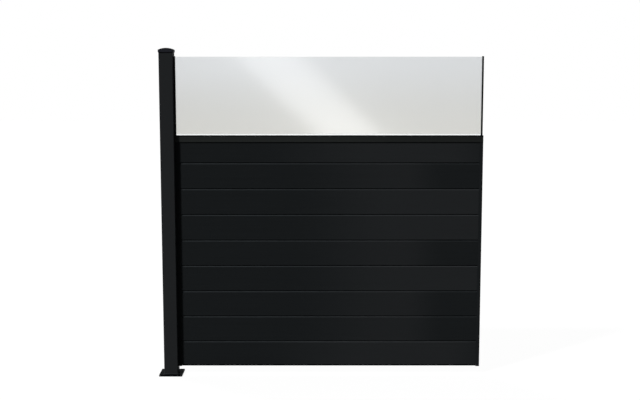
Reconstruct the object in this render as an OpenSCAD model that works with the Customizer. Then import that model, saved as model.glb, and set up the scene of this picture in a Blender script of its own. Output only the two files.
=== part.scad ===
// Garden fence bay: one square post on a bolt-down base plate, nine hollow
// tongue-and-groove boards between two end channels, an aluminium rail on top
// of them and a frosted glass pane above the rail.
// Millimetres. The origin is the centre of the base plate's underside. The
// panel runs along +X from the post, its front faces -Y, and +Z is up.

/* [Post] */
// Side of the square post tube
post_w = 80; // [76:1:90]
// Wall of the post tube
post_wall = 2.5; // [2:0.5:4]
// Outer radius of the tube's four long edges
post_r = 3.5; // [3:0.5:6]
// How far the tube rises above the top of the glass edging
post_rise = 28; // [20:1:60]

/* [Base plate] */
// Side of the square base plate
plate_w = 135; // [130:1:160]
// Thickness of the base plate
plate_t = 8; // [6:1:12]
// Corner radius of the base plate
plate_r = 5; // [2:1:12]
// Diameter of the four anchor holes
anchor_d = 12; // [9:1:13]
// Distance from the plate's edge to the centres of the anchor holes
anchor_edge = 16; // [13:1:18]

/* [Cap] */
// How far the cap's skirt stands out past the post
cap_out = 3; // [2:0.5:6]
// Clearance between the cap and the tube, outside and inside
cap_fit = 0.3; // [0.2:0.1:0.6]
// How far the skirt comes down over the tube
cap_skirt = 7; // [6:1:14]
// Height of the cap's crown above the tube's end
cap_crown = 19; // [18:1:24]
// Radius of the curve of the crown's four faces
cap_dome_r = 90; // [90:5:200]
// Corner radius of the cap
cap_r = 8; // [6:1:12]
// Depth of the plug inside the tube
cap_plug = 17; // [12:1:30]
// Wall of the plug and of the dome
cap_wall = 3; // [2:0.5:4]

/* [Boards] */
// Length of the panel, from the post to the free end
panel_w = 1771; // [1000:1:1800]
// Gap between the ground and the boards
ground_gap = 49.5; // [20:0.5:90]
// Height that each board covers
board_cover = 150; // [130:1:170]
// Part of the top board that shows below the rail
top_board_show = 119.5; // [100:0.5:124]
// Thickness of the boards
board_t = 21; // [20:0.5:25]
// Skin of the hollow boards
board_skin = 3.5; // [3:0.5:4]
// Ribs between the chambers of a board
board_rib = 3; // [2:0.5:4]
// Chambers in a board
chambers = 5; // [3:1:6]
// Corner radius of the chambers
chamber_r = 2.5; // [1:0.5:3]
// Height of the slope along a board's upper edge
slope_h = 8; // [3:0.5:10]
// How far that slope leans back
slope_in = 5; // [3:0.5:5]
// Height of the shadow gap between two boards
joint_gap = 3; // [1:0.5:4]
// Chamfer along a board's lower edges
lower_chamfer = 2; // [0.5:0.5:2]
// Thickness of the tongue
tongue_t = 7; // [5:0.5:7]
// Height of the tongue above the shoulder
tongue_h = 8; // [5:0.5:10]
// Clearance of the tongue in the groove, on each side and at its tip
tongue_fit = 0.4; // [0.2:0.1:0.6]

/* [Channels] */
// Width of the end channels' faces
channel_lap = 20; // [16:1:30]
// Wall of the end channels
channel_wall = 2; // [1.5:0.5:3]
// Clearance of the boards in the channels and in the rail, on each face
board_fit = 0.5; // [0.3:0.1:1]
// Clearance between the boards' ends and the channels' webs
end_fit = 0.5; // [0.3:0.1:3]

/* [Rail] */
// Height of the rail
rail_h = 37.5; // [34:0.5:60]
// Thickness of the rail, front to back
rail_t = 30; // [28:0.5:36]
// Wall of the rail
rail_wall = 2; // [1.5:0.5:2.5]
// How deep the top board stands in the rail
rail_lap = 17; // [12:0.5:20]
// Width of the fine groove along the rail's two faces
rail_line = 1.6; // [1:0.1:2]
// Depth of the fine groove
rail_line_depth = 0.8; // [0.4:0.1:1]

/* [Glass] */
// Height of the glass pane
glass_h = 438.8; // [300:0.1:600]
// Thickness of the glass
glass_t = 8; // [6:0.5:9]
// Height of the clear seal that shows under the glass
seal_show = 8.2; // [4:0.1:20]
// Width of the black edging beside the glass
edging_w = 9.4; // [9:0.1:16]
// Thickness of the edging, front to back
edging_t = 14; // [12.5:0.5:18]
// How deep the glass stands in the edging
glass_lap = 6; // [4:0.5:7]
// Clearance of the glass in the edging, and of the edging in the rail
glass_fit = 0.3; // [0.2:0.1:0.5]
// How far the edging stands up past the glass
edging_rise = 3.5; // [0:0.5:10]
// Distance from the panel's free end to the edging
edging_inset = 4; // [0:0.1:12]

/* [Hidden] */
$fn = 64;
full_boards = 8;

panel_x0 = post_w / 2;
panel_x1 = panel_x0 + panel_w;

// Heights from the ground up
boards_z0 = ground_gap;
top_board_z0 = boards_z0 + full_boards * board_cover;
rail_z0 = top_board_z0 + top_board_show;
rail_z1 = rail_z0 + rail_h;
web_z0 = rail_z0 + rail_lap;
web_z1 = web_z0 + rail_wall;
glass_z0 = rail_z1 + seal_show;
glass_z1 = glass_z0 + glass_h;
edging_z1 = glass_z1 + edging_rise;
post_z1 = edging_z1 + post_rise;

// Board section
shoulder_z = board_cover - joint_gap;
chamber_w = board_t - 2 * board_skin;
chamber_z0 = tongue_h + tongue_fit + board_skin;
chamber_z1 = shoulder_z - 2 * board_rib;
chamber_h = (chamber_z1 - chamber_z0 - (chambers - 1) * board_rib) / chambers;

// Channels and rail
channel_t = board_t + 2 * board_fit + 2 * channel_wall;
board_x0 = panel_x0 + channel_wall + end_fit;
board_x1 = panel_x1 - channel_wall - end_fit;
rail_mouth = edging_t + 2 * glass_fit;
line_z = web_z0 + (rail_wall - rail_line) / 2;

// Glazing
edging_left_x0 = panel_x0;
edging_right_x1 = panel_x1 - edging_inset;
glass_x0 = edging_left_x0 + edging_w - glass_lap;
glass_x1 = edging_right_x1 - edging_w + glass_lap;

anchor = plate_w / 2 - anchor_edge;
cap_w = post_w + 2 * cap_fit + 2 * cap_out;

// A rectangle with round corners, centred on the origin
module round_rect(w, h, r) {
    square([w - 2 * r, h], center = true);
    square([w, h - 2 * r], center = true);
    for (sx = [-1, 1], sy = [-1, 1])
        translate([sx * (w / 2 - r), sy * (h / 2 - r)])
            circle(r = r);
}

// Runs a section drawn in Y and Z along X, from x0 to x1
module run_x(x0, x1) {
    translate([x0, 0, 0])
        rotate([90, 0, 90])
            linear_extrude(height = x1 - x0)
                children();
}

// One chamber of a board, numbered from the bottom
module chamber(i) {
    translate([0, chamber_z0 + chamber_h / 2 + i * (chamber_h + board_rib)])
        round_rect(chamber_w, chamber_h, chamber_r);
}

// Section of a board: sloped upper edges, a recessed shoulder that the next
// board stands on, a tongue above it and a groove below
module board_section() {
    half = board_t / 2;
    neck = half - slope_in;
    groove = tongue_t / 2 + tongue_fit;
    tip = board_cover + tongue_h;
    difference() {
        polygon([
            [-half + lower_chamfer, 0],
            [-groove, 0],
            [-groove, tongue_h + tongue_fit],
            [groove, tongue_h + tongue_fit],
            [groove, 0],
            [half - lower_chamfer, 0],
            [half, lower_chamfer],
            [half, shoulder_z - slope_h],
            [neck, shoulder_z],
            [neck, board_cover],
            [tongue_t / 2, board_cover],
            [tongue_t / 2, tip - 1],
            [tongue_t / 2 - 1, tip],
            [-tongue_t / 2 + 1, tip],
            [-tongue_t / 2, tip - 1],
            [-tongue_t / 2, board_cover],
            [-neck, board_cover],
            [-neck, shoulder_z],
            [-half, shoulder_z - slope_h],
            [-half, lower_chamfer]
        ]);
        for (i = [0 : chambers - 1])
            chamber(i);
    }
}

// A full board, numbered from the ground up
module board(number) {
    color("#33363a")
        run_x(board_x0, board_x1)
            translate([0, boards_z0 + (number - 1) * board_cover])
                board_section();
}

// The top board is ripped to height and stands in the rail's lower pocket
module board_9() {
    color("#33363a")
        run_x(board_x0, board_x1)
            translate([0, top_board_z0])
                intersection() {
                    board_section();
                    translate([-board_t, 0])
                        square([2 * board_t, top_board_show + rail_lap]);
                }
}

module base_plate() {
    color("#383b3f")
        difference() {
            linear_extrude(height = plate_t)
                round_rect(plate_w, plate_w, plate_r);
            for (sx = [-1, 1], sy = [-1, 1])
                translate([sx * anchor, sy * anchor, -1])
                    cylinder(d = anchor_d, h = plate_t + 2);
        }
}

module post() {
    inner_w = post_w - 2 * post_wall;
    color("#383b3f")
        translate([0, 0, plate_t])
            linear_extrude(height = post_z1 - plate_t)
                difference() {
                    round_rect(post_w, post_w, post_r);
                    round_rect(inner_w, inner_w, post_r / 2);
                }
}

// A shallow crown with four curved faces that meet in hips: where two
// cylinders of radius r, along X and along Y, cross
module crown(r) {
    intersection() {
        rotate([90, 0, 0])
            cylinder(r = r, h = 2 * cap_w, center = true, $fn = 128);
        rotate([0, 90, 0])
            cylinder(r = r, h = 2 * cap_w, center = true, $fn = 128);
    }
}

// A skirt over the tube, a hollow plug inside it and the crown on top
module post_cap() {
    plug_w = post_w - 2 * post_wall - 2 * cap_fit;
    hollow_w = plug_w - 2 * cap_wall;
    dome_z = post_z1 + cap_crown - cap_dome_r;
    color("#2a2c33")
        difference() {
            intersection() {
                translate([0, 0, post_z1 - cap_skirt])
                    linear_extrude(height = cap_skirt + cap_crown)
                        round_rect(cap_w, cap_w, cap_r);
                translate([0, 0, dome_z])
                    crown(cap_dome_r);
            }
            translate([0, 0, post_z1 - cap_skirt - 1])
                linear_extrude(height = cap_skirt + 1)
                    difference() {
                        round_rect(post_w + 2 * cap_fit, post_w + 2 * cap_fit, post_r + cap_fit);
                        round_rect(plug_w, plug_w, post_r / 2);
                    }
            intersection() {
                translate([0, 0, post_z1 - cap_skirt - 1])
                    linear_extrude(height = cap_skirt + cap_crown)
                        round_rect(hollow_w, hollow_w, 2);
                translate([0, 0, dome_z])
                    crown(cap_dome_r - cap_wall);
            }
        }
    color("#2a2c33")
        translate([0, 0, post_z1 - cap_plug])
            linear_extrude(height = cap_plug - cap_skirt)
                difference() {
                    round_rect(plug_w, plug_w, post_r / 2);
                    round_rect(hollow_w, hollow_w, 2);
                }
}

// An upright U that takes the boards' ends, closed at its foot by a tab that
// carries the lowest board; it opens towards +X
module end_channel() {
    inner_t = channel_t - 2 * channel_wall;
    foot_z = boards_z0 - channel_wall;
    difference() {
        translate([0, -channel_t / 2, foot_z])
            cube([channel_lap, channel_t, rail_z0 - foot_z]);
        translate([channel_wall, -inner_t / 2, boards_z0])
            cube([channel_lap, inner_t, rail_z0 - boards_z0 + 1]);
    }
}

module channel_left() {
    color("#34373b")
        translate([panel_x0, 0, 0])
            end_channel();
}

module channel_right() {
    color("#34373b")
        translate([panel_x1, 0, 0])
            mirror([1, 0, 0])
                end_channel();
}

// Section of the rail: a lower pocket with lips over the top board, a web,
// and an upper pocket whose lips leave a mouth for the glazing
module rail_section() {
    half = rail_t / 2;
    inner = half - rail_wall;
    board_mouth = board_t + 2 * board_fit;
    difference() {
        translate([-half, rail_z0])
            square([rail_t, rail_h]);
        translate([-inner, rail_z0 + rail_wall])
            square([2 * inner, rail_lap - rail_wall]);
        translate([-board_mouth / 2, rail_z0 - 1])
            square([board_mouth, rail_wall + 2]);
        translate([-inner, web_z1])
            square([2 * inner, rail_z1 - rail_wall - web_z1]);
        translate([-rail_mouth / 2, rail_z1 - rail_wall - 1])
            square([rail_mouth, rail_wall + 2]);
        for (side = [-1, 1])
            translate([side * half, line_z + rail_line / 2])
                square([2 * rail_line_depth, rail_line], center = true);
    }
}

module rail() {
    color("#383b3f")
        run_x(panel_x0, panel_x1)
            rail_section();
}

// Black edging: a U around one upright edge of the glass, standing on the
// rail's web; it opens towards +X
module edging() {
    slot_t = glass_t + 2 * glass_fit;
    slot_x = edging_w - glass_lap - glass_fit;
    difference() {
        translate([0, -edging_t / 2, web_z1])
            cube([edging_w, edging_t, edging_z1 - web_z1]);
        translate([slot_x, -slot_t / 2, glass_z0])
            cube([edging_w, slot_t, edging_z1 - glass_z0 + 1]);
    }
}

module glass_edging_left() {
    color("#060607")
        translate([edging_left_x0, 0, 0])
            edging();
}

module glass_edging_right() {
    color("#060607")
        translate([edging_right_x1, 0, 0])
            mirror([1, 0, 0])
                edging();
}

// Clear seal: a wide foot in the rail's mouth and a neck under the glass
module glass_seal() {
    foot_t = edging_t;
    color([0.92, 0.94, 0.94, 0.5])
        run_x(edging_left_x0 + edging_w, edging_right_x1 - edging_w) {
            translate([-foot_t / 2, web_z1])
                square([foot_t, rail_z1 - web_z1]);
            translate([-glass_t / 2, web_z1])
                square([glass_t, glass_z0 - web_z1]);
        }
}

module glass_pane() {
    color([0.82, 0.85, 0.86, 0.75])
        translate([glass_x0, -glass_t / 2, glass_z0])
            cube([glass_x1 - glass_x0, glass_t, glass_h]);
}

base_plate();
post();
post_cap();
channel_left();
channel_right();
board(1);  // board_1
board(2);  // board_2
board(3);  // board_3
board(4);  // board_4
board(5);  // board_5
board(6);  // board_6
board(7);  // board_7
board(8);  // board_8
board_9();
rail();
glass_edging_left();
glass_edging_right();
glass_seal();
glass_pane();
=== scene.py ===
"""The looks of a garden fence bay.

One square post on a welded foot, nine tongue-and-groove boards between two end channels,
an aluminium rail on top of them and a frosted glass pane above the rail. Metres. The
panel runs along +X from the post, its front faces -Y and +Z is up.
"""

import logging
import math
from collections.abc import Callable
from dataclasses import dataclass, replace
from enum import Enum
from typing import Any

import bpy
import numpy as np
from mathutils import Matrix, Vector


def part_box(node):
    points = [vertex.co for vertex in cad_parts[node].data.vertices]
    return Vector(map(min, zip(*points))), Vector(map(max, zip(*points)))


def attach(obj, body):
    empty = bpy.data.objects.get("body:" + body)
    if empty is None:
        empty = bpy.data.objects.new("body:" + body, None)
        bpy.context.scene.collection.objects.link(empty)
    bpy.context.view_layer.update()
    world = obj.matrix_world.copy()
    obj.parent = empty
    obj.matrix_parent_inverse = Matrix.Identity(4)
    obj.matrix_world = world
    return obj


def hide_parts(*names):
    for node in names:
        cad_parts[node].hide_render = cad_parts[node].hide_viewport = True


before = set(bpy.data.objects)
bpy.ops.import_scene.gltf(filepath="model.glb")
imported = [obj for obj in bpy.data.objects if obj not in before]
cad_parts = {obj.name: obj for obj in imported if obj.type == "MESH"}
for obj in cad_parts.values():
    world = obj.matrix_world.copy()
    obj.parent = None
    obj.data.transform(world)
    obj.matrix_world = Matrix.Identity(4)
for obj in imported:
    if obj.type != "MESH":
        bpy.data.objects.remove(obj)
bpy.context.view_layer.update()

log = logging.getLogger("fence_bay")

ROOT = "root"
Triple = tuple[float, float, float]
Colour = Triple
Paint = Callable[["Shader"], dict[str, Any]]

# Where a Mix node keeps its factor, its two colours and its blended colour
MIX_FACTOR, MIX_FIRST, MIX_SECOND, MIX_RESULT = 0, 6, 7, 2
# What a noise averages
MIDDLE = 0.5


# ---------------------------------------------------------------- shader maths


class Value:
    """A number that varies over a surface. Arithmetic on it adds Math nodes."""

    def __init__(self, shader: "Shader", socket: bpy.types.NodeSocket) -> None:
        """Wraps a socket.

        Args:
            shader: The node tree that the socket is in.
            socket: The output that carries the number.
        """
        self.shader = shader
        self.socket = socket

    def _math(self, operation: str, first: Any, second: Any) -> "Value":
        """Adds one Math node.

        Args:
            operation: The Math node's operation.
            first: The first number, a Value or a float.
            second: The second number, a Value or a float.

        Returns:
            The node's result.
        """
        node = self.shader.node("ShaderNodeMath", {"operation": operation}, {0: first, 1: second})
        return Value(self.shader, node.outputs[0])

    def __add__(self, other: Any) -> "Value":
        """Returns self + other."""
        return self._math("ADD", self, other)

    def __radd__(self, other: Any) -> "Value":
        """Returns other + self."""
        return self._math("ADD", other, self)

    def __sub__(self, other: Any) -> "Value":
        """Returns self - other."""
        return self._math("SUBTRACT", self, other)

    def __rsub__(self, other: Any) -> "Value":
        """Returns other - self."""
        return self._math("SUBTRACT", other, self)

    def __mul__(self, other: Any) -> "Value":
        """Returns self * other."""
        return self._math("MULTIPLY", self, other)

    def __mod__(self, other: Any) -> "Value":
        """Returns the remainder of self / other."""
        return self._math("FLOORED_MODULO", self, other)

    def step(self, start: float, end: float) -> "Value":
        """Rises smoothly from 0 at start to 1 at end.

        Args:
            start: The value where the rise begins.
            end: The value where it is complete. It may be below start, for a fall.

        Returns:
            The risen value, from 0 to 1.
        """
        node = self.shader.node(
            "ShaderNodeMapRange",
            {"interpolation_type": "SMOOTHSTEP"},
            {"Value": self, "From Min": start, "From Max": end},
        )
        return Value(self.shader, node.outputs[0])


@dataclass(frozen=True)
class Grain:
    """A noise, and how strongly it shows in the tone, the roughness and the height.

    It repeats per_metre times in a metre along X, Y and Z. The finer layers that it has are
    counted by detail, and layering is how strong each is beside the one before.
    """

    per_metre: Triple
    detail: float = 2.0
    layering: float = 0.5
    tone: float = 0.0
    rough: float = 0.0
    height: float = 0.0


class Shader:
    """One node tree: a finish, the floor's or the world's."""

    def __init__(self, owner: bpy.types.ID) -> None:
        """Empties the owner's node tree.

        Args:
            owner: The material or world that the nodes belong to.
        """
        owner.use_nodes = True
        self.owner = owner
        self.tree = owner.node_tree
        self.tree.nodes.clear()

    def node(
        self,
        kind: str,
        settings: dict[str, Any] | None = None,
        sockets: dict[str | int, Any] | None = None,
    ) -> bpy.types.Node:
        """Adds one node.

        Args:
            kind: The node's type.
            settings: Its own settings, which are set first.
            sockets: A Value or an output to link, or a plain value, for each input.

        Returns:
            The node.
        """
        node = self.tree.nodes.new(kind)
        for key, value in (settings or {}).items():
            setattr(node, key, value)
        for key, value in (sockets or {}).items():
            value = value.socket if isinstance(value, Value) else value
            if isinstance(value, bpy.types.NodeSocket):
                self.tree.links.new(value, node.inputs[key])
            else:
                node.inputs[key].default_value = value
        return node

    def position(self) -> bpy.types.NodeSocket:
        """Returns the Object coordinates."""
        return self.node("ShaderNodeTexCoord").outputs["Object"]

    def axes(self) -> tuple[Value, Value, Value]:
        """Returns the Object coordinates' X, Y and Z."""
        split = self.node("ShaderNodeSeparateXYZ", None, {0: self.position()})
        return tuple(Value(self, out) for out in split.outputs)

    def noise(self, grain: Grain) -> Value:
        """Spreads a noise over the surface.

        Args:
            grain: The noise.

        Returns:
            The noise about 0, from about -0.5 to 0.5.
        """
        spacing = {"Vector": self.position(), "Scale": grain.per_metre}
        mapping = self.node("ShaderNodeMapping", None, spacing)
        layers = {"Scale": 1.0, "Detail": grain.detail, "Roughness": grain.layering}
        noise = self.node("ShaderNodeTexNoise", None, {"Vector": mapping.outputs[0], **layers})
        return Value(self, noise.outputs[0]) - MIDDLE

    def shaded(self, colour: Colour | bpy.types.NodeSocket, factor: Value) -> bpy.types.NodeSocket:
        """Returns a colour made lighter or darker by a factor about 1."""
        scaled = self.node("ShaderNodeVectorMath", {"operation": "SCALE"}, {0: colour, "Scale": factor})
        return scaled.outputs[0]

    def mixed(self, factor: Value, first: Any, second: Any) -> bpy.types.NodeSocket:
        """Blends two colours.

        Args:
            factor: 0 for the first colour, 1 for the second.
            first: A colour or a socket.
            second: A colour or a socket.

        Returns:
            The blended colour.
        """
        ends = [(*c, 1.0) if isinstance(c, tuple) else c for c in (first, second)]
        sockets = {MIX_FACTOR: factor, MIX_FIRST: ends[0], MIX_SECOND: ends[1]}
        mix = self.node("ShaderNodeMix", {"data_type": "RGBA"}, sockets)
        return mix.outputs[MIX_RESULT]

    def bumped(self, height: Value, depth: float) -> bpy.types.NodeSocket:
        """Returns a normal bent by a height from 0 to 1 that stands depth metres."""
        bump = self.node("ShaderNodeBump", None, {"Height": height, "Distance": depth})
        return bump.outputs[0]

    def seen(self) -> Value:
        """Returns 1 for what the camera, a reflection or clear glass looks at, and 0 for light."""
        path = self.node("ShaderNodeLightPath")
        kinds = ("Camera", "Glossy", "Transmission")
        camera, glossy, through = (Value(self, path.outputs[f"Is {kind} Ray"]) for kind in kinds)
        return 1.0 - (1.0 - camera) * (1.0 - glossy) * (1.0 - through)


def surface(name: str, paint: Paint, constants: dict[str, Any]) -> bpy.types.Material:
    """Makes a material around one Principled shader.

    Args:
        name: The material's name.
        paint: A function from the Shader to the sockets that vary over the surface.
        constants: The sockets that are the same all over it.

    Returns:
        The material.
    """
    shader = Shader(bpy.data.materials.new(name))
    sockets = {**constants, **paint(shader)}
    principled = shader.node("ShaderNodeBsdfPrincipled", None, sockets)
    shader.node("ShaderNodeOutputMaterial", None, {"Surface": principled.outputs[0]})
    return shader.owner


# -------------------------------------------------------------------- finishes


@dataclass(frozen=True)
class PowderCoat:
    """Fine-textured matt powder coat on aluminium.

    It gets darker along X between two places, and above a height it carries painted shade.
    Both lie past the bay where they are not given.
    """

    name: str = "powder_coat"
    colour: Colour = (0.0111, 0.0119, 0.0127)
    sheen_level: float = 0.020
    roughness: float = 0.56
    darkens_from: float = 5.0
    darkens_to: float = 6.0
    darkening: float = 0.24
    # Painted shade above this height, along the top edge
    lip_shade_from: float = 9.0
    lip_shade: float = 0.75
    blend: float = 0.0006
    peel: Grain = Grain((620.0,) * 3, 3.0, 0.6, tone=0.12, rough=0.25, height=1.0)
    speckle: Grain = Grain((1900.0,) * 3, 1.0, tone=0.30, height=0.4)
    cloud: Grain = Grain((7.0, 7.0, 5.0), tone=0.10, rough=0.10)
    peel_depth: float = 0.00008

    def material(self) -> bpy.types.Material:
        """Returns the finished material."""

        def paint(shader: Shader) -> dict[str, Any]:
            """Returns the coat's orange peel, its speckle, a slow cloud, the darkening along X and the
            painted shade at the lip.
            """
            peel = shader.noise(self.peel)
            speckle = shader.noise(self.speckle)
            cloud = shader.noise(self.cloud)
            along, _, height = shader.axes()
            # Tone falls along X between two places
            along_darkening = along.step(self.darkens_from, self.darkens_to) * self.darkening
            # Painted shade along the top edge, under the seal
            lip = height.step(self.lip_shade_from - self.blend, self.lip_shade_from + self.blend) * self.lip_shade
            tone = 1.0 - along_darkening + cloud * self.cloud.tone
            tone = tone + speckle * self.speckle.tone + peel * self.peel.tone
            relief = peel * self.peel.height + speckle * self.speckle.height
            return {
                "Base Color": shader.shaded(self.colour, tone * (1.0 - lip)),
                "Roughness": self.roughness + peel * self.peel.rough + cloud * self.cloud.rough,
                "Normal": shader.bumped(relief, self.peel_depth),
            }

        return surface(self.name, paint, {"Specular IOR Level": self.sheen_level})


class BoardRun(Enum):
    """A board's lighter stretch: rises from, full at, falls from, gone at, how much lighter."""

    OUTER = (0.45, 1.20, 1.57, 1.99, 0.58)
    LONG = (0.68, 1.32, 1.76, 2.60, 0.58)
    SHORT = (0.69, 1.30, 1.36, 1.60, 0.46)


@dataclass(frozen=True)
class CompositeBoard:
    """Brushed wood-plastic composite, pigmented through, with soft streaks along the board."""

    run: BoardRun
    foot: float
    cover: float
    colour: Colour = (0.0070, 0.0080, 0.0086)
    lighter_colour: Colour = (0.00711, 0.00774, 0.00826)
    # The slope's upper edge gets a painted highlight, stronger near the post, and its lower part
    # painted shade
    slope_from: float = 0.1385
    slope_to: float = 0.1470
    slope_low_shade: float = 0.30
    slope_highlight: float = 1.09
    post_end_highlight: float = 1.01
    highlight_full_to: float = 0.50
    highlight_gone_at: float = 1.30
    # Painted shade along the lowest board's foot edge
    foot_shade_height: float = 0.009
    foot_shade: float = 0.85
    blend: float = 0.0006
    sheen_level: float = 0.022
    roughness: float = 0.74
    streak: Grain = Grain((1.4, 90.0, 110.0), 3.0, 0.55, tone=0.34, rough=0.16)
    brushing: Grain = Grain((14.0, 900.0, 900.0), 2.0, 0.6, tone=0.35, rough=0.22, height=1.0)
    pores: Grain = Grain((260.0, 1500.0, 1500.0), 1.0, tone=0.15, height=0.3)
    brush_depth: float = 0.00025

    def material(self) -> bpy.types.Material:
        """Returns the finished material."""

        def paint(shader: Shader) -> dict[str, Any]:
            """Returns the brushing, the slope's painted highlight over painted shade, and the foot's
            painted shade.
            """
            rises_from, full_at, falls_from, gone_at, lighter = self.run.value
            along, _, height = shader.axes()
            up = (height - self.foot) % self.cover
            slope = up.step(self.slope_from - self.blend, self.slope_from + self.blend)
            slope = slope * (1.0 - up.step(self.slope_to - self.blend, self.slope_to + self.blend))
            # Painted highlight on the slope's upper part, more near the post, and painted shade on its
            # lower part
            upper = up.step(self.slope_from, self.slope_to)
            near_post = 1.0 - along.step(self.highlight_full_to, self.highlight_gone_at)
            slope_light = upper * (self.slope_highlight + near_post * self.post_end_highlight) - self.slope_low_shade
            slope_tone = 1.0 + slope * slope_light
            # Painted shade along the lowest board's foot edge
            foot_shade_top = self.foot + self.foot_shade_height
            foot_shade_mask = 1.0 - height.step(foot_shade_top - self.blend, foot_shade_top + self.blend)
            run = along.step(rises_from, full_at) * (1.0 - along.step(falls_from, gone_at))
            streak = shader.noise(self.streak)
            brushing = shader.noise(self.brushing)
            pores = shader.noise(self.pores)
            tone = 1.0 + run * lighter + streak * self.streak.tone
            tone = tone + brushing * self.brushing.tone + pores * self.pores.tone
            colour = shader.mixed(run, self.colour, self.lighter_colour)
            rough = self.roughness + streak * self.streak.rough + brushing * self.brushing.rough
            grooves = brushing * self.brushing.height + pores * self.pores.height
            return {
                "Base Color": shader.shaded(colour, tone * slope_tone * (1.0 - foot_shade_mask * self.foot_shade)),
                "Roughness": rough,
                "Normal": shader.bumped(grooves, self.brush_depth),
            }

        name = f"composite_board_{self.run.name.lower()}"
        return surface(name, paint, {"Specular IOR Level": self.sheen_level})


@dataclass(frozen=True)
class CapPlastic:
    """Moulded plastic: a smooth rim, and a crown with a fine spark-eroded texture."""

    top: float
    crown_depth: float = 0.0125
    name: str = "cap_plastic"
    colour: Colour = (0.0122, 0.0128, 0.0166)
    crown_shade: float = 0.80
    crown_blend: float = 0.002
    sheen_level: float = 0.004
    roughness: float = 0.42
    crown_rough: float = 0.10
    rim_texture: float = 0.3
    texture: Grain = Grain((1400.0,) * 3, 2.0, 0.6, tone=0.22, rough=0.20)
    flow: Grain = Grain((26.0, 26.0, 12.0), 1.0, tone=0.12, rough=0.12)
    texture_depth: float = 0.00005

    def material(self) -> bpy.types.Material:
        """Returns the finished material."""

        def paint(shader: Shader) -> dict[str, Any]:
            """Returns the texture, which is faint on the rim, and the darker crown."""
            foot = self.top - self.crown_depth
            crown = shader.axes()[2].step(foot, foot + self.crown_blend)
            strength = self.rim_texture + crown * (1.0 - self.rim_texture)
            texture = shader.noise(self.texture) * strength
            flow = shader.noise(self.flow)
            tone = 1.0 + texture * self.texture.tone + flow * self.flow.tone
            rough = self.roughness + crown * self.crown_rough
            rough = rough + texture * self.texture.rough + flow * self.flow.rough
            return {
                "Base Color": shader.shaded(self.colour, tone * (1.0 - crown * self.crown_shade)),
                "Roughness": rough,
                "Normal": shader.bumped(texture + MIDDLE, self.texture_depth),
            }

        return surface(self.name, paint, {"Specular IOR Level": self.sheen_level})


@dataclass(frozen=True)
class BlackEdging:
    """Black rubber-edged profile with fine lines along its run."""

    name: str = "black_edging"
    colour: Colour = (0.0032, 0.0034, 0.0036)
    sheen_level: float = 0.02
    roughness: float = 0.62
    lines: Grain = Grain((1100.0, 1100.0, 9.0), 2.0, 0.6, tone=0.25, rough=0.20)
    bloom: Grain = Grain((30.0, 30.0, 6.0), tone=0.30, rough=0.15)
    line_depth: float = 0.00006

    def material(self) -> bpy.types.Material:
        """Returns the finished material."""

        def paint(shader: Shader) -> dict[str, Any]:
            """Returns the drawn lines and a faint bloom."""
            lines = shader.noise(self.lines)
            bloom = shader.noise(self.bloom)
            tone = 1.0 + lines * self.lines.tone + bloom * self.bloom.tone
            return {
                "Base Color": shader.shaded(self.colour, tone),
                "Roughness": self.roughness + lines * self.lines.rough + bloom * self.bloom.rough,
                "Normal": shader.bumped(lines + MIDDLE, self.line_depth),
            }

        return surface(self.name, paint, {"Specular IOR Level": self.sheen_level})


@dataclass(frozen=True)
class ClearSeal:
    """Soft clear seal, slightly clouded along its run."""

    name: str = "clear_seal"
    colour: Colour = (0.915, 0.94, 0.94)
    roughness: float = 0.24
    refraction: float = 1.45
    cloud: Grain = Grain((9.0, 300.0, 300.0), tone=0.04, rough=0.20)
    cloud_depth: float = 0.0001

    def material(self) -> bpy.types.Material:
        """Returns the finished material."""

        def paint(shader: Shader) -> dict[str, Any]:
            """Returns the clouding along the seal."""
            cloud = shader.noise(self.cloud)
            return {
                "Base Color": shader.shaded(self.colour, 1.0 + cloud * self.cloud.tone),
                "Roughness": self.roughness + cloud * self.cloud.rough,
                "Normal": shader.bumped(cloud + MIDDLE, self.cloud_depth),
            }

        return surface(self.name, paint, {"Transmission Weight": 1.0, "IOR": self.refraction})


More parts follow.
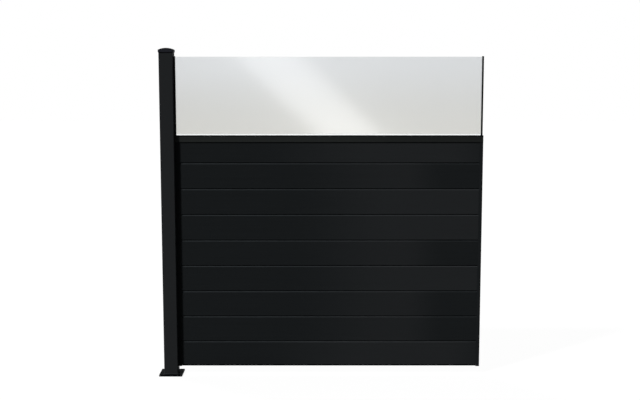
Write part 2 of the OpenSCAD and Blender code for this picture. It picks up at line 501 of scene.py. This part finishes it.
@dataclass(frozen=True)
class FrostedGlass:
    """Glass etched on one face: clear on the front, with a sandblasted haze behind it."""

    low: Vector
    high: Vector
    name: str = "frosted_glass"
    low_colour: Colour = (0.612, 0.613, 0.583)
    high_colour: Colour = (0.589, 0.606, 0.617)
    # Painted light: the haze is brightened upwards, less so at the far end, and lifted at the far end
    painted_light_from: float = 0.22
    painted_light_to: float = 1.07
    glow: float = 0.165
    far_painted_light: float = 0.78
    far_painted_lift: float = 0.022
    cut_colour: Colour = (0.30, 0.42, 0.37)
    cut_blend: float = 0.0002
    roughness: float = 0.30
    refraction: float = 1.5
    sheen_level: float = 0.5
    coat_fall: float = 0.34
    coat_roughness: float = 0.09
    etch: Grain = Grain((2400.0,) * 3, 1.0, rough=0.08)
    cloud: Grain = Grain((5.0, 5.0, 8.0), tone=0.02)

    def material(self) -> bpy.types.Material:
        """Returns the finished material."""

        def paint(shader: Shader) -> dict[str, Any]:
            """Returns the haze, cooler with height and brightened upwards and at the far end by painted
            light, and the green cut edge.
            """
            along, _, height = shader.axes()
            tall = self.high.z - self.low.z
            rise = height.step(self.low.z, self.high.z)
            far = along.step(self.low.x, self.high.x)
            # Painted light that brightens the haze upwards and lifts it at the far end
            glow = height.step(self.low.z + self.painted_light_from * tall, self.low.z + self.painted_light_to * tall)
            glow = glow * self.glow * (1.0 - far * (1.0 - self.far_painted_light))
            etch = shader.noise(self.etch)
            cloud = shader.noise(self.cloud)
            tone = 1.0 + glow + far * self.far_painted_lift + cloud * self.cloud.tone
            colour = shader.mixed(rise, self.low_colour, self.high_colour)
            cut = height.step(self.high.z - self.cut_blend, self.high.z)
            colour = shader.mixed(cut, colour, self.cut_colour)
            return {
                "Base Color": shader.shaded(colour, tone),
                "Roughness": self.roughness + etch * self.etch.rough,
                "Coat Weight": 1.0 - rise * self.coat_fall,
            }

        constants = {
            "Transmission Weight": 1.0,
            "IOR": self.refraction,
            "Specular IOR Level": self.sheen_level,
            "Coat Roughness": self.coat_roughness,
        }
        return surface(self.name, paint, constants)


# ---------------------------------------------------------------------- meshes


class Closing(Enum):
    """How a grid of points closes: across, along, and with a face on its first and last row."""

    SHEET = (False, False, False)
    RING = (True, True, False)
    TURNED = (False, True, True)


def grid_piece(name: str, points: np.ndarray, closing: Closing) -> bpy.types.Object:
    """Makes a piece from a grid of points.

    Square (i, j) joins points (i, j), (i + 1, j), (i + 1, j + 1) and (i, j + 1). A closed
    direction joins its last points to its first ones.

    Args:
        name: The piece's name.
        points: The points, shaped (across, along, 3).
        closing: How the grid closes.

    Returns:
        The object, at the origin, with smooth faces.
    """
    close_across, close_along, close_ends = closing.value
    across, along = points.shape[:2]
    i = np.arange(across if close_across else across - 1)[:, None]
    j = np.arange(along if close_along else along - 1)[None, :]
    i_next, j_next = (i + 1) % across, (j + 1) % along
    corners = [i * along + j, i_next * along + j, i_next * along + j_next, i * along + j_next]
    faces = np.stack([c.ravel() for c in corners], axis=1).tolist()
    if close_ends:
        first = np.arange(along)
        faces += [first.tolist(), (first[::-1] + (across - 1) * along).tolist()]
    mesh = bpy.data.meshes.new(name)
    mesh.from_pydata(points.reshape(-1, 3).tolist(), [], faces)
    mesh.polygons.foreach_set("use_smooth", np.ones(len(faces), bool))
    mesh.update()
    piece = bpy.data.objects.new(name, mesh)
    bpy.context.scene.collection.objects.link(piece)
    return piece


def rounded_square(share: np.ndarray, half: float, radius: float) -> tuple[np.ndarray, np.ndarray]:
    """Walks round a square with round corners, from the middle of its +X side.

    The outline is a smaller square plus a circle: a point is the smaller square's point
    plus the radius times the outward direction. Along a side the smaller square's point
    moves and the direction stays; round a corner the point stays and the direction turns.

    Args:
        share: How far round, from 0 to 1. An eighth is the middle of the first corner.
        half: Half the square's side.
        radius: The corners' radius.

    Returns:
        The points and the outward directions, each shaped (n, 2).
    """
    core = half - radius
    side, corner = 2 * core, math.pi * radius / 2
    ends = np.cumsum([0.0, side / 2, *[corner, side] * 3, corner, side / 2])
    walked = share * ends[-1]
    turns = np.repeat(np.arange(5), 2) * math.pi / 2
    xs = core * np.array([1, 1, 1, -1, -1, -1, -1, 1, 1, 1])
    ys = core * np.array([0, 1, 1, 1, 1, -1, -1, -1, -1, 0])
    turn = np.interp(walked, ends, turns)
    outward = np.stack([np.cos(turn), np.sin(turn)], axis=1)
    inner = np.stack([np.interp(walked, ends, xs), np.interp(walked, ends, ys)], axis=1)
    return inner + radius * outward, outward


# ---------------------------------------------------------------- sub-assemblies


def dress(finish: bpy.types.Material, *nodes: str) -> None:
    """Puts a finish on CAD nodes.

    Args:
        finish: The material.
        nodes: The nodes' names.
    """
    for name in nodes:
        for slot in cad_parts[name].material_slots:
            slot.material = finish
        log.info("%s: %s", name, finish.name)


def add_piece(piece: bpy.types.Object, finish: bpy.types.Material) -> None:
    """Gives a new piece its finish and fixes it to the bay.

    Args:
        piece: The piece.
        finish: Its material.
    """
    piece.data.materials.append(finish)
    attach(piece, ROOT)
    log.info("%s: %s, %d faces", piece.name, finish.name, len(piece.data.polygons))


@dataclass
class Post:
    """The square tube on its foot, the weld between them and the moulded cap."""

    corner: float = 0.0035
    weld_leg: float = 0.0032
    weld_ripple: float = 0.00022
    ripples: int = 96
    steps_per_ripple: int = 8
    weld_sides: int = 12
    cap_corner: float = 0.008
    cap_curve: float = 0.090
    cap_hips: float = 16.0
    cap_shoulder: float = 0.0025
    cap_skirt: float = 0.007
    cap_lip: float = 0.0015
    cap_fit: float = 0.0003
    cap_round: int = 288
    crown_rows: int = 30
    crown_first: float = 0.003
    shoulder_steps: int = 8
    lip_steps: int = 4
    coat: PowderCoat = PowderCoat("post_coat", (0.0125, 0.0134, 0.0142), 0.0005, 0.28)
    foot_coat: PowderCoat = PowderCoat("foot_coat", (0.0018, 0.0022, 0.0026), 0.002, 0.36)

    def weld(self) -> bpy.types.Object:
        """Makes the weld round the tube's foot.

        A point is the tube's outline, plus a circle of the weld's leg in the plane that
        stands across the outline: x, y = outline + leg * cos(v) * outward and
        z = plate + leg * sin(v). The leg swells with each ripple of the torch.

        Returns:
            The piece.
        """
        low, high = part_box("post")
        steps = self.ripples * self.steps_per_ripple
        share = np.arange(steps) / steps
        outline, outward = rounded_square(share, (high.x - low.x) / 2, self.corner)
        turn = np.arange(self.weld_sides) / self.weld_sides * 2 * math.pi
        ripple = np.abs(np.sin(math.pi * self.ripples * share))
        leg = (self.weld_leg + self.weld_ripple * (ripple - 1.0))[None, :, None]
        flat = outline[None] + leg * np.cos(turn)[:, None, None] * outward[None]
        height = low.z + leg * np.sin(turn)[:, None, None] * np.ones((1, len(share), 1))
        return grid_piece("weld_seam", np.concatenate([flat, height], axis=2), Closing.RING)

    def cap_cover(self) -> bpy.types.Object:
        """Makes the moulded cap's cover: four curved faces, a round shoulder and a skirt.

        It is a profile carried round the cap's outline. The crown's height is
        top - R + sqrt(R^2 - m^2), where m = (|x|^n + |y|^n)^(1/n) is nearly the larger of
        |x| and |y|, so that soft hips run to the corners. The shoulder is an arc that
        starts at the crown's own slope and ends upright: its pivot is the shoulder's
        radius inside the outline, and a point stands radius * (cos(v), sin(v)) out and up
        from there, with v from 90 degrees less the slope down to 0. The skirt drops from
        it to a round lip, turns in under itself and rises inside to the tube's end.

        Returns:
            The piece.
        """
        half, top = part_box("post_cap")[1].x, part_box("post_cap")[1].z
        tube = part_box("post")[1]
        foot = tube.z - self.cap_skirt
        share = np.arange(self.cap_round) / self.cap_round
        outline, outward = rounded_square(share, half, self.cap_corner)
        inside, _ = rounded_square(share, tube.x + self.cap_fit, self.corner + self.cap_fit)

        def measure(flat: np.ndarray) -> np.ndarray:
            """Returns m over points shaped (..., 2)."""
            return (np.abs(flat) ** self.cap_hips).sum(axis=-1) ** (1 / self.cap_hips)

        def crown(flat: np.ndarray) -> np.ndarray:
            """Returns the crown's height over points shaped (..., 2)."""
            return top - self.cap_curve + np.sqrt(self.cap_curve**2 - measure(flat) ** 2)

        reach = measure(outline)
        rise = np.sign(outline) * (np.abs(outline) / reach[:, None]) ** (self.cap_hips - 1)
        steep = reach / np.sqrt(self.cap_curve**2 - reach**2)
        slope = np.arctan(steep * (rise * outward).sum(axis=1))
        centre = outline - self.cap_shoulder * outward
        edge = centre + (self.cap_shoulder * np.sin(slope))[:, None] * outward
        pivot = crown(edge) - self.cap_shoulder * np.cos(slope)

        def ring(flat: np.ndarray, height: np.ndarray) -> np.ndarray:
            """Returns rows of points from their plan, shaped (..., n, 2), and their height."""
            height = np.broadcast_to(height, flat.shape[:-1])
            return np.concatenate([flat, height[..., None]], axis=-1)

        faces = np.linspace(self.crown_first, 1.0, self.crown_rows)[:, None, None] * edge
        turn = np.linspace(1.0, 0.0, self.shoulder_steps + 1)[1:, None] * (math.pi / 2 - slope)
        arc = centre + self.cap_shoulder * np.cos(turn)[..., None] * outward
        under = np.linspace(0.0, math.pi / 2, self.lip_steps + 1)[:, None]
        lip = outline - self.cap_lip * (1.0 - np.cos(under))[..., None] * outward
        rows = [
            ring(faces, crown(faces)),
            ring(arc, pivot + self.cap_shoulder * np.sin(turn)),
            ring(lip, foot + self.cap_lip * (1.0 - np.sin(under))),
            ring(inside[None], foot),
            ring(inside[None], tube.z),
        ]
        return grid_piece("cap_cover", np.concatenate(rows), Closing.TURNED)

    def build(self) -> None:
        """Makes the post's pieces and dresses them."""
        coat = self.coat.material()
        dress(coat, "post")
        dress(self.foot_coat.material(), "base_plate")
        add_piece(self.weld(), coat)
        cover = self.cap_cover()
        add_piece(cover, CapPlastic(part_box("post_cap")[1].z).material())
        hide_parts("post_cap")


@dataclass
class BoardInfill:
    """The nine boards, the end channels that hold them and the rail on top."""

    outer: tuple[int, ...] = (1, 9)
    long: tuple[int, ...] = (4, 6, 7)
    short: tuple[int, ...] = (2, 3, 5, 8)
    rail_lip_shade: float = 0.0075
    channel_coat: PowderCoat = PowderCoat("channel_coat", (0.0082, 0.0092, 0.0100), 0.004)
    rail_coat: PowderCoat = PowderCoat(
        "rail_coat", (0.0119, 0.0131, 0.0127), darkens_from=0.95, darkens_to=1.45
    )

    def build(self) -> None:
        """Dresses the boards, the channels and the rail."""
        foot, next_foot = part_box("board_1")[0].z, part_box("board_2")[0].z
        runs = {BoardRun.OUTER: self.outer, BoardRun.LONG: self.long, BoardRun.SHORT: self.short}
        for run, numbers in runs.items():
            board = CompositeBoard(run, foot, next_foot - foot)
            dress(board.material(), *(f"board_{number}" for number in numbers))
        dress(self.channel_coat.material(), "channel_left", "channel_right")
        # The rail's top band gets painted shade where the seal sits on it
        rail = replace(self.rail_coat, lip_shade_from=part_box("rail")[1].z - self.rail_lip_shade)
        dress(rail.material(), "rail")


@dataclass
class GlazedTop:
    """The frosted pane, its black edging and the clear seal under it."""

    edging: BlackEdging = BlackEdging()
    seal: ClearSeal = ClearSeal()

    def build(self) -> None:
        """Dresses the glazing."""
        dress(FrostedGlass(*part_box("glass_pane")).material(), "glass_pane")
        dress(self.edging.material(), "glass_edging_left", "glass_edging_right")
        dress(self.seal.material(), "glass_seal")


# ---------------------------------------------------------------------- studio


@dataclass(frozen=True)
class Sun:
    """A distant lamp. Azimuth 0 is in front of the bay and 90 at its free end, in degrees."""

    name: str
    azimuth: float
    elevation: float
    strength: float
    softness: float

    def build(self) -> None:
        """Hangs the lamp. It lights matt surfaces; gloss and glass show the white room instead."""
        lamp = bpy.data.lights.new(self.name, "SUN")
        lamp.energy = self.strength
        lamp.angle = math.radians(self.softness)
        turn, tilt = math.radians(self.azimuth), math.radians(self.elevation)
        level = math.cos(tilt)
        spot = Vector((math.sin(turn) * level, -math.cos(turn) * level, math.sin(tilt)))
        sun = place(self.name, lamp, spot, -spot)
        sun.visible_glossy = False
        sun.visible_transmission = False


def place(name: str, data: bpy.types.ID, spot: Vector, towards: Vector) -> bpy.types.Object:
    """Puts a lamp somewhere, pointing along a direction.

    Args:
        name: The object's name.
        data: The lamp.
        spot: Where it stands.
        towards: The direction that it points in.

    Returns:
        The object.
    """
    thing = bpy.data.objects.new(name, data)
    thing.location = spot
    thing.rotation_euler = towards.to_track_quat("-Z", "Y").to_euler()
    bpy.context.scene.collection.objects.link(thing)
    return thing


@dataclass
class Studio:
    """White surroundings, a pale floor, two suns, a strip light and the camera."""

    eye: Colour = (0.8742, -5.9789, 1.7788)
    look_down: float = 7.118
    lens: float = 58.554
    sensor: float = 36.0
    floor_half: float = 30.0
    floor_points: int = 5
    floor_drop: float = 0.0002
    floor_glow: float = 0.935
    floor_paint: float = 0.035
    floor_bounce: float = 0.073
    dusk: float = 0.10
    suns: tuple[Sun, ...] = (
        Sun("key_sun", -50.0, 46.0, 6.6, 6.0),
        Sun("back_sun", 225.0, 38.0, 5.5, 20.0),
        Sun("end_sun", 100.0, 20.0, 1.6, 30.0),
    )
    strip_top: tuple[float, float] = (0.586, 1.8535)
    strip_bottom: tuple[float, float] = (1.036, 1.4147)
    strip_distance: float = 8.0
    strip_width: float = 0.59
    strip_length: float = 4.0
    strip_power: float = 41.5

    def camera(self) -> None:
        """Sets up the camera."""
        data = bpy.data.cameras.new("camera")
        data.sensor_width = self.sensor
        data.lens = self.lens
        camera = bpy.data.objects.new("camera", data)
        camera.location = self.eye
        camera.rotation_euler = (math.radians(90.0 - self.look_down), 0.0, 0.0)
        bpy.context.scene.collection.objects.link(camera)
        bpy.context.scene.camera = camera

    def floor(self) -> None:
        """Lays the floor: a flat grid of points under the bay."""
        steps = np.linspace(-self.floor_half, self.floor_half, self.floor_points)
        x, y = np.meshgrid(steps, steps, indexing="ij")
        points = np.stack([x, y, np.full_like(x, -self.floor_drop)], axis=2)
        floor = grid_piece("floor", points, Closing.SHEET)
        shader = Shader(bpy.data.materials.new("pale_floor"))
        glow = shader.node("ShaderNodeEmission", None, {"Strength": self.floor_glow})
        paint = shader.node("ShaderNodeBsdfDiffuse", None, {0: (self.floor_paint,) * 3 + (1.0,)})
        lit = shader.node("ShaderNodeAddShader", None, {0: glow.outputs[0], 1: paint.outputs[0]})
        bounce = shader.node("ShaderNodeBsdfDiffuse", None, {0: (self.floor_bounce,) * 3 + (1.0,)})
        ways = {0: shader.seen(), 1: bounce.outputs[0], 2: lit.outputs[0]}
        mix = shader.node("ShaderNodeMixShader", None, ways)
        shader.node("ShaderNodeOutputMaterial", None, {"Surface": mix.outputs[0]})
        floor.data.materials.append(shader.owner)

    def world(self) -> None:
        """Surrounds the bay with white that lights it only faintly."""
        world = bpy.data.worlds.new("white_room")
        bpy.context.scene.world = world
        shader = Shader(world)
        strength = self.dusk + shader.seen() * (1.0 - self.dusk)
        white = shader.node("ShaderNodeBackground", None, {"Color": (1.0,) * 4, "Strength": strength})
        shader.node("ShaderNodeOutputWorld", None, {"Surface": white.outputs[0]})
        world.cycles.sampling_method = "NONE"

    def strip(self) -> None:
        """Hangs the slanting strip light that the pane mirrors.

        The pane shows the eye's mirror image, so the strip's centre line lies on the rays
        from that image through the two ends of the gleam, strip_distance past the pane.
        """
        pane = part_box("glass_pane")[0].y
        image = Vector((self.eye[0], 2 * pane - self.eye[1], self.eye[2]))
        reach = 1.0 + self.strip_distance / (image.y - pane)
        gleam = [Vector((x, pane, z)) for x, z in (self.strip_top, self.strip_bottom)]
        ends = [image + (end - image) * reach for end in gleam]
        lamp = bpy.data.lights.new("strip_light", "AREA")
        lamp.shape = "RECTANGLE"
        lamp.size = self.strip_width
        lamp.size_y = self.strip_length
        lamp.energy = self.strip_power
        strip = place("strip_light", lamp, (ends[0] + ends[1]) / 2, Vector((0.0, 1.0, 0.0)))
        slope = math.atan2(ends[1].x - ends[0].x, ends[0].z - ends[1].z)
        strip.rotation_euler.rotate_axis("Z", slope)
        strip.visible_camera = False
        strip.visible_diffuse = False
        strip.visible_transmission = False

    def build(self) -> None:
        """Sets up the room, the lights and the camera."""
        bpy.context.scene.view_settings.view_transform = "Standard"
        self.camera()
        self.world()
        self.floor()
        for sun in self.suns:
            sun.build()
        self.strip()
        log.info("studio ready")


def main() -> None:
    """Builds the bay and its studio."""
    logging.basicConfig(level=logging.INFO, format="%(name)s %(message)s")
    for part in (Studio(), Post(), BoardInfill(), GlazedTop()):
        part.build()


if __name__ == "__main__":
    main()
